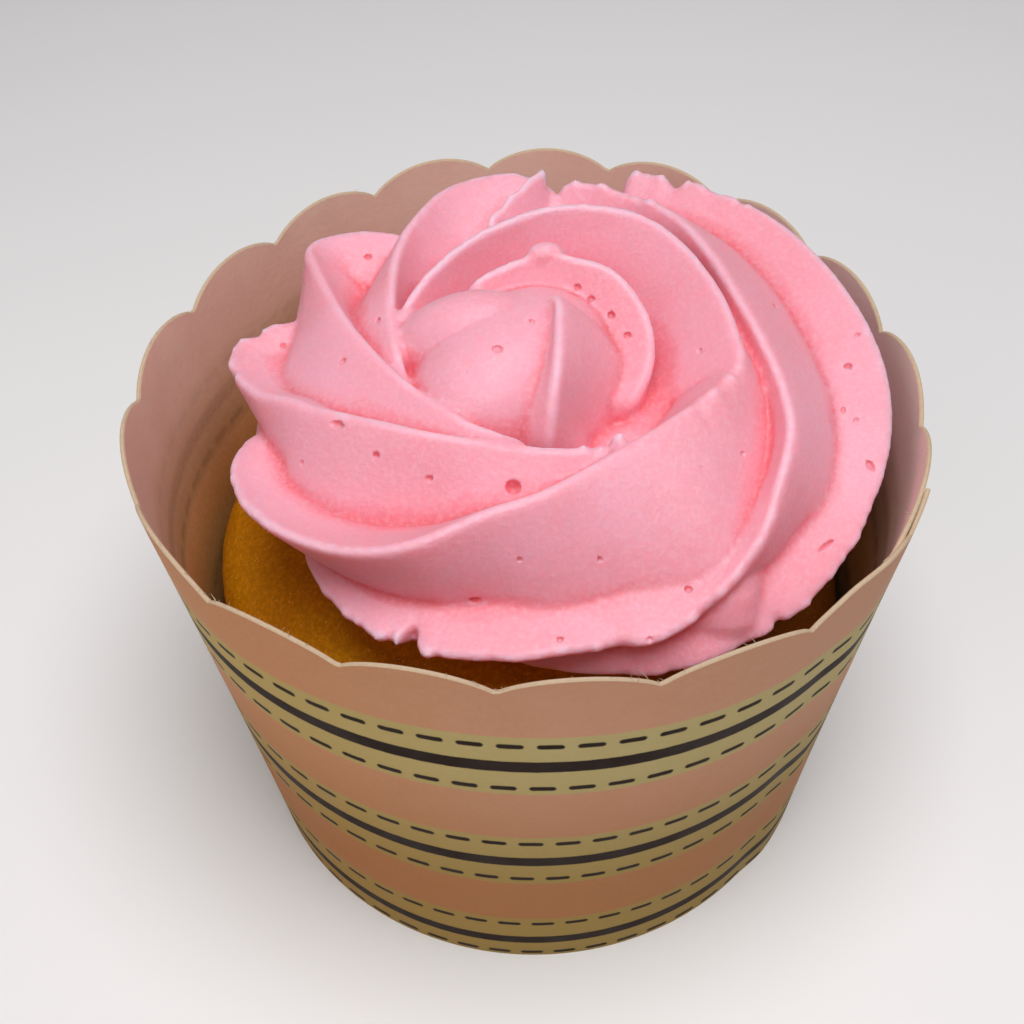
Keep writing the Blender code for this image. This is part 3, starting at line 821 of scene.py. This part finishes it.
# Air holes in the icing: (azimuth, distance from the axis, height, half sizes, turn).
AIR_HOLES = (
    (265.2, 13.4, 47.9, (0.62, 0.55, 0.62), 0), (207.5, 16.1, 49.0, (0.75, 0.34, 0.34), -16),
    (131.8, 20.1, 47.4, (0.36, 0.3, 0.3), 0), (182.6, 14.3, 49.3, (0.36, 0.3, 0.3), 0),
    (222.0, 15.1, 48.3, (0.28, 0.28, 0.28), 0), (204.9, 19.1, 45.6, (0.24, 0.24, 0.24), 0),
    (238.9, 14.1, 47.7, (0.36, 0.26, 0.26), 20), (163.6, 12.1, 49.9, (0.26, 0.26, 0.26), 0),
    (164.8, 20.8, 45.8, (0.26, 0.26, 0.26), 0), (238.5, 4.0, 52.5, (0.42, 0.36, 0.2), 0),
    (313.7, 0.9, 52.8, (0.24, 0.24, 0.2), 0), (49.5, 6.7, 51.3, (0.32, 0.28, 0.28), 0),
    (38.3, 6.9, 50.8, (0.3, 0.24, 0.24), 0), (22.5, 7.5, 50.2, (0.34, 0.3, 0.34), 0),
    (8.6, 8.2, 49.5, (0.34, 0.28, 0.3), 0), (15.7, 21.3, 48.3, (0.34, 0.3, 0.34), 0),
    (0.2, 25.7, 46.6, (0.36, 0.3, 0.36), 0), (351.2, 25.1, 45.6, (0.22, 0.3, 0.22), 0),
    (349.3, 26.1, 45.5, (0.22, 0.22, 0.22), 0), (5.8, 26.9, 47.6, (0.22, 0.22, 0.22), 0),
    (341.5, 27.7, 44.3, (0.62, 0.28, 0.3), -68), (326.2, 26.6, 42.1, (0.85, 0.2, 0.34), 38),
    (326.9, 19.1, 47.7, (0.3, 0.26, 0.2), 0), (315.5, 17.9, 48.5, (0.3, 0.3, 0.16), 0),
    (300.0, 22.6, 43.3, (0.3, 0.26, 0.2), 0), (258.0, 19.7, 42.4, (0.44, 0.3, 0.36), 0),
    (285.3, 18.9, 45.3, (0.22, 0.22, 0.22), 0), (275.0, 22.6, 41.6, (0.22, 0.22, 0.18), 0),
    (289.9, 24.5, 42.0, (0.26, 0.26, 0.2), 0), (267.7, 18.7, 46.0, (0.2, 0.2, 0.2), 0),
    (356.8, 13.6, 49.5, (0.22, 0.22, 0.22), 0),
)

CREST_HALF = 0.3
CREST_ROUGH = 0.05
CREST_TRIAL_POINTS = 200  # enough to tell how long a crest is
FOLD_STEP = 0.4
FOLD_DEPTHS = (0.0, 0.02, 0.05, 0.09, 0.14, 0.2, 0.28, 0.38, 0.5, 0.65, 0.82, 1.0)
FOLD_END_RISE = 0.6  # share of a fold's height that its sunken ends keep
FOLD_END_WIDTH = 0.5  # and of its width
TEAR_WAVES = ((0.6, 1.0), (1.7, 0.7), (4.2, 0.35))  # (waves to a millimetre, share)
TEAR_EASE = 3  # degrees over which a torn stretch begins and ends
TEAR_REACH = 0.9
ROPE_STEPS = 110
ROPE_SIDES = 24
CUT_ROWS = 40
CUT_SIDES = 120
ICING_VOXEL = 0.26
ICING_SMOOTH = 3


def smooth_curve(rows, count):
    """Points at even steps on a Catmull-Rom curve through the rows."""
    rows = np.array(rows, float)
    ends = np.vstack([2 * rows[0] - rows[1], rows, 2 * rows[-1] - rows[-2]])
    step = np.linspace(0, len(rows) - 1, count)
    first = np.minimum(step.astype(int), len(rows) - 2)
    u = (step - first)[:, None]
    a, b, c, d = (ends[first + k] for k in range(4))
    squared = (2 * a - 5 * b + 4 * c - d) * u**2
    cubed = (3 * b - a - 3 * c + d) * u**3
    return 0.5 * (2 * b + (c - a) * u + squared + cubed)


def from_polar(rows):
    """Rows that start with azimuth, distance and height, with x, y and z instead."""
    rows = np.array(rows, float)
    a = np.radians(rows[:, 0])
    return np.column_stack([rows[:, 1] * np.cos(a), rows[:, 1] * np.sin(a), rows[:, 2:]])


def unit_rows(vectors):
    """The same directions, each one long."""
    return vectors / np.linalg.norm(vectors, axis=1)[:, None]


def tear(azimuth, way, torn, notches, seed):
    """How far the crest stands up or falls short, all along it, from tearing."""
    amount = np.full(len(way), CREST_ROUGH)
    for start, end, size in torn:
        inside = np.clip(np.minimum(azimuth - start, end - azimuth) / TEAR_EASE, 0, 1)
        amount = np.maximum(amount, size * inside)
    short = np.zeros(len(way))
    for waves, share in TEAR_WAVES:
        short += share * np.array([noise.noise((s * waves, seed, 4.0 * waves)) for s in way])
    short *= amount
    for at, half, depth in notches:
        short -= depth * np.exp(-(((azimuth - at) / half) ** 4))
    return short


def fold(seed, stations, root_z, belly, inner_belly, fade, torn=(), notches=()):
    """One fold: a thin crest, and two faces that widen down to its root."""
    crest = smooth_curve(from_polar(stations), CREST_TRIAL_POINTS)[:, :3]
    length = np.linalg.norm(np.diff(crest, axis=0), axis=1).sum()
    count = int(length / FOLD_STEP) + 2
    path = smooth_curve(from_polar(stations), count)
    turned = smooth_curve(stations, count)[:, 0]
    line, foot_r, outer, inner = path[:, :3], path[:, 3], path[:, 4], path[:, 5]
    way = np.concatenate([[0], np.cumsum(np.linalg.norm(np.diff(line, axis=0), axis=1))])
    azimuth = np.radians(turned)
    height = np.full(count, root_z)
    foot = np.column_stack([foot_r * np.cos(azimuth), foot_r * np.sin(azimuth), height])
    rise = np.clip(np.minimum(way, way[-1] - way) / fade, 0, 1)
    rise = np.sqrt(1 - (1 - rise) ** 2)
    short = tear(turned, way, torn, notches, seed)
    top = foot + (line - foot) * (FOLD_END_RISE + (1 - FOLD_END_RISE) * rise)[:, None]
    lean = unit_rows(line - foot)
    tall = np.linalg.norm(top - foot, axis=1)
    turn = np.sign(stations[-1][0] - stations[0][0])
    outward = unit_rows(turn * np.cross(unit_rows(np.gradient(line, axis=0)), lean))
    depth = np.array(FOLD_DEPTHS)
    bulge = np.interp(turned, *zip(*belly))
    loops = []
    for i in range(count):
        swell = FOLD_END_WIDTH + (1 - FOLD_END_WIDTH) * rise[i]
        spread_in = 1 - (1 - depth) ** inner_belly
        spread_out = 1 - (1 - depth) ** bulge[i]
        inside = (CREST_HALF + (inner[i] - CREST_HALF) * spread_in) * swell
        outside = (CREST_HALF + (outer[i] - CREST_HALF) * spread_out) * swell
        inside[0] = outside[0] = CREST_HALF * swell / 2
        shift = short[i] * np.exp(-depth * tall[i] / TEAR_REACH)
        middle = top[i] + (foot[i] - top[i]) * depth[:, None] + lean[i] * shift[:, None]
        inner_face = middle - outward[i] * inside[:, None]
        outer_face = middle + outward[i] * outside[:, None]
        loops.append([*inner_face[::-1], *outer_face])
    return skin(loops)


def rope_middle():
    """The rope's core, as a tube that swells and narrows."""
    path = smooth_curve(from_polar(ROPE), ROPE_STEPS)
    line, radius = path[:, :3], path[:, 3]
    way = unit_rows(np.gradient(line, axis=0))
    side = unit_rows(np.cross(way, (0.0, 0.0, 1.0)))
    up = np.cross(side, way)
    turns = [2 * pi * k / ROPE_SIDES for k in range(ROPE_SIDES)]
    loops = []
    for i in range(ROPE_STEPS):
        loops.append([line[i] + radius[i] * (cos(a) * side[i] + sin(a) * up[i]) for a in turns])
    return skin(loops)


def mass(centre, radii, turn, rows=MASS_ROWS):
    """An egg-shaped lump, turned about its upright axis."""
    loops = []
    across, along = cos(radians(turn)), sin(radians(turn))
    for k in range(1, rows):
        tilt = pi * k / rows
        turns = [pi * j / rows for j in range(2 * rows)]
        loop = []
        for a in turns:
            x, y = radii[0] * sin(tilt) * cos(a), radii[1] * sin(tilt) * sin(a)
            z = centre[2] + radii[2] * cos(tilt)
            loop.append((centre[0] + x * across - y * along, centre[1] + x * along + y * across, z))
        loops.append(loop)
    return skin(loops)


def under_crust_tool():
    """All that the icing is cut by: the sponge with a hair of room, and the air holes."""
    reach = 2 * CUP_FOOT_R
    profile = [(reach, -CRUST_RISE), (reach, crust_height(crust_edge_r) + GAP)]
    for k in range(CUT_ROWS, 0, -1):
        radius = crust_edge_r * k / CUT_ROWS
        profile.append((radius, crust_height(radius) + GAP))
    turns = [2 * pi * k / CUT_SIDES for k in range(CUT_SIDES)]
    skins = [skin([[(r * cos(a), r * sin(a), z) for a in turns] for r, z in profile])]
    for azimuth, out, height, radii, turn in AIR_HOLES:
        a = radians(azimuth)
        skins.append(mass((out * cos(a), out * sin(a), height), radii, turn, rows=HOLE_ROWS))
    return new_piece("under_crust_tool", *joined(skins))


def apply_all(piece):
    """The piece's modifiers become its mesh."""
    evaluated = piece.evaluated_get(bpy.context.evaluated_depsgraph_get())
    mesh = bpy.data.meshes.new_from_object(evaluated)
    piece.modifiers.clear()
    old, piece.data = piece.data, mesh
    bpy.data.meshes.remove(old)


def icing_skin():
    """Folds, rope and lumps melted together into one skin."""
    skins = [fold(seed, **row) for seed, row in enumerate(FOLDS)]
    skins.append(rope_middle())
    skins += [mass(*row) for row in MASSES]
    piece = new_piece("piped_icing", *joined(skins), crease=180)
    remesh = piece.modifiers.new("one_skin", "REMESH")
    remesh.mode = "VOXEL"
    remesh.voxel_size = ICING_VOXEL * MM
    remesh.use_smooth_shade = True
    soften = piece.modifiers.new("soften", "SMOOTH")
    soften.iterations = ICING_SMOOTH
    apply_all(piece)
    return piece


EDGE_REACH = 0.8
EDGE_SPOTS_EVERY = 1  # one point of the skin in this many is measured to
EDGE_BENDS = (-0.10, -0.32)  # an edge begins at the first bend, and is full at the second
HOLLOW_REACH = 2.4
HOLLOW_SPOTS_EVERY = 8
HOLLOW_BENDS = (0.05, 0.30)
CREASE_BENDS = (0.06, 0.26)
CREASE_SHARE = 0.5


def bends(mesh, reach, every):
    """For each point, how far the skin round it stands above it, as a share of the reach."""
    places = np.empty(len(mesh.vertices) * 3)
    mesh.vertices.foreach_get("co", places)
    places = places.reshape(-1, 3)
    normals = np.empty(len(mesh.vertices) * 3)
    mesh.vertices.foreach_get("normal", normals)
    normals = normals.reshape(-1, 3)
    spots = places[::every]
    tree = kdtree.KDTree(len(spots))
    for k, spot in enumerate(spots):
        tree.insert(spot, k)
    tree.balance()
    means = places.copy()
    for k, at in enumerate(places):
        near = [found[1] for found in tree.find_range(at, reach * MM)]
        if near:
            means[k] = spots[near].mean(axis=0)
    return ((means - places) * normals).sum(axis=1) / (reach * MM)


def mark_edges_and_hollows(mesh):
    """Thin lips are marked for a painted highlight, and the hollows between the folds for painted
    shade.
    """

    def share_of(bend, ends):
        return np.clip((bend - ends[0]) / (ends[1] - ends[0]), 0, 1)

    fine = bends(mesh, EDGE_REACH, EDGE_SPOTS_EVERY)
    broad = bends(mesh, HOLLOW_REACH, HOLLOW_SPOTS_EVERY)
    edge = share_of(fine, EDGE_BENDS)
    hollow = share_of(broad, HOLLOW_BENDS) + CREASE_SHARE * share_of(fine, CREASE_BENDS)
    for name, share in (("thin_edge", edge), ("hollow", np.minimum(hollow, 1))):
        marks = mesh.attributes.new(name, "FLOAT", "POINT")
        marks.data.foreach_set("value", share.astype(np.float32))


def seat_on_crust(piece):
    """The icing sits on the domed crust, and its bubbles have burst."""
    tool = under_crust_tool()
    cut = piece.modifiers.new("seat", "BOOLEAN")
    cut.operation = "DIFFERENCE"
    cut.solver = "MANIFOLD"
    cut.object = tool
    apply_all(piece)
    bpy.data.objects.remove(tool)


ICING_PINK = (0.87, 0.36, 0.44)
ICING_PINK_PALE = (0.88, 0.405, 0.50)
# Painted shade colour for the hollows between the folds.
ICING_HOLLOW_SHADE = (0.82, 0.13, 0.16)
# Painted highlight colour for the thin lips.
ICING_LIP_HIGHLIGHT = (0.90, 0.66, 0.78)
ICING_SUGAR = (0.97, 0.62, 0.72)


def icing_finish():
    """Butter icing: satin, slightly see-through, with a fine sugary grain, painted shade in its
    hollows and a painted highlight on its thin lips.
    """
    made = Finish("pink_icing")
    broad = made.smooth(made.grain(90.0, 3.0, 0.5), 0.35, 0.65)
    fine = made.grain(2600.0, 4.0, 0.6)
    sugar = made.smooth(fine, 0.4, 0.75)
    colour = made.mix(broad, ICING_PINK, ICING_PINK_PALE)
    # Painted shade: deep red in the hollows between the folds.
    colour = made.mix(made.math("MULTIPLY", made.mark("hollow"), 0.82), colour, ICING_HOLLOW_SHADE)
    # Painted highlight: pale lavender on the thin lips.
    colour = made.mix(made.math("MULTIPLY", made.mark("thin_edge"), 0.75), colour, ICING_LIP_HIGHLIGHT)
    colour = made.mix(made.math("MULTIPLY", sugar, 0.25), colour, ICING_SUGAR)
    lumps = made.bump(made.grain(620.0, 3.0, 0.5), 0.3, 0.00022)
    grain = made.bump(fine, 0.45, 0.00013, under=lumps)
    made.set(Base_Color=colour, Roughness=0.48, Normal=grain)
    made.shader.inputs["Subsurface Weight"].default_value = 0.85
    made.shader.inputs["Subsurface Radius"].default_value = (1.0, 0.13, 0.10)
    made.shader.inputs["Subsurface Scale"].default_value = 0.0016
    return made.material


icing = icing_skin()
seat_on_crust(icing)
icing.data.materials.clear()
icing.data.materials.append(icing_finish())
icing.data.shade_smooth()
mark_edges_and_hollows(icing.data)
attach(icing, "root")
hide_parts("icing")

# ---------------------------------------------------------------------------
# Table top. A plain, pale, matt board that the cup stands on.

FLOOR_HALF = 1.2  # metres
FLOOR_GREY = (0.88, 0.88, 0.875)
FLOOR_WHITE = (0.92, 0.92, 0.915)


def floor_finish():
    """White paint, a little uneven."""
    made = Finish("table_top")
    soft = made.grain(9.0, 3.0, 0.5)
    colour = made.mix(soft, FLOOR_GREY, FLOOR_WHITE)
    made.set(Base_Color=colour, Roughness=0.7)
    return made.material


floor_mesh = bpy.data.meshes.new("table_top")
corners = [(x * FLOOR_HALF, y * FLOOR_HALF, 0) for x, y in ((-1, -1), (1, -1), (1, 1), (-1, 1))]
floor_mesh.from_pydata(corners, [], [(0, 1, 2, 3)])
floor = bpy.data.objects.new("table_top", floor_mesh)
bpy.context.scene.collection.objects.link(floor)
floor.data.materials.append(floor_finish())

# ---------------------------------------------------------------------------
# Lights. A small soft lamp above, a wide warm one low at the left, and a faint glow
# from the room. Places and sizes are in metres.

LIT_POINT = (0.0, 0.0, 0.035)
LAMPS = (
    ("key", (0.03, -0.07, 0.40), 0.26, 1.30, (1.0, 0.98, 1.0)),
    ("fill", (-0.26, -0.24, 0.27), 0.45, 0.36, (1.0, 0.94, 0.90)),
)
ROOM_COLOUR = (1.0, 0.98, 0.97, 1.0)
ROOM_STRENGTH = 0.14


def soft_light(name, where, size, watts, colour):
    """A round lamp that faces the cupcake."""
    light = bpy.data.lights.new(name, "AREA")
    light.shape = "DISK"
    light.size = size
    light.energy = watts
    light.color = colour
    lamp = bpy.data.objects.new(name, light)
    lamp.location = where
    lamp.rotation_euler = (Vector(LIT_POINT) - Vector(where)).to_track_quat("-Z", "Y").to_euler()
    bpy.context.scene.collection.objects.link(lamp)


for lamp_row in LAMPS:
    soft_light(*lamp_row)
room = bpy.data.worlds.new("studio")
room.use_nodes = True
room.node_tree.nodes["Background"].inputs["Color"].default_value = ROOM_COLOUR
room.node_tree.nodes["Background"].inputs["Strength"].default_value = ROOM_STRENGTH
bpy.context.scene.world = room
bpy.context.scene.view_settings.view_transform = "Standard"

# ---------------------------------------------------------------------------
# Camera. It looks down at the front of the cupcake from close by. EYE is in
# millimetres round the cup's axis, and EYE_TURN in degrees.

LENS_MM = 48.273
SENSOR_MM = 36.0
NEAREST = 0.005  # metres
EYE = (0.0, -81.514, 120.762)
EYE_TURN = (42.0471, 1.5589, -0.6613)

camera = bpy.data.cameras.new("camera")
camera.lens = LENS_MM
camera.sensor_width = SENSOR_MM
camera.clip_start = NEAREST
eye = bpy.data.objects.new("camera", camera)
eye.location = place([EYE])[0]
eye.rotation_euler = tuple(radians(turn) for turn in EYE_TURN)
bpy.context.scene.collection.objects.link(eye)
bpy.context.scene.camera = eye
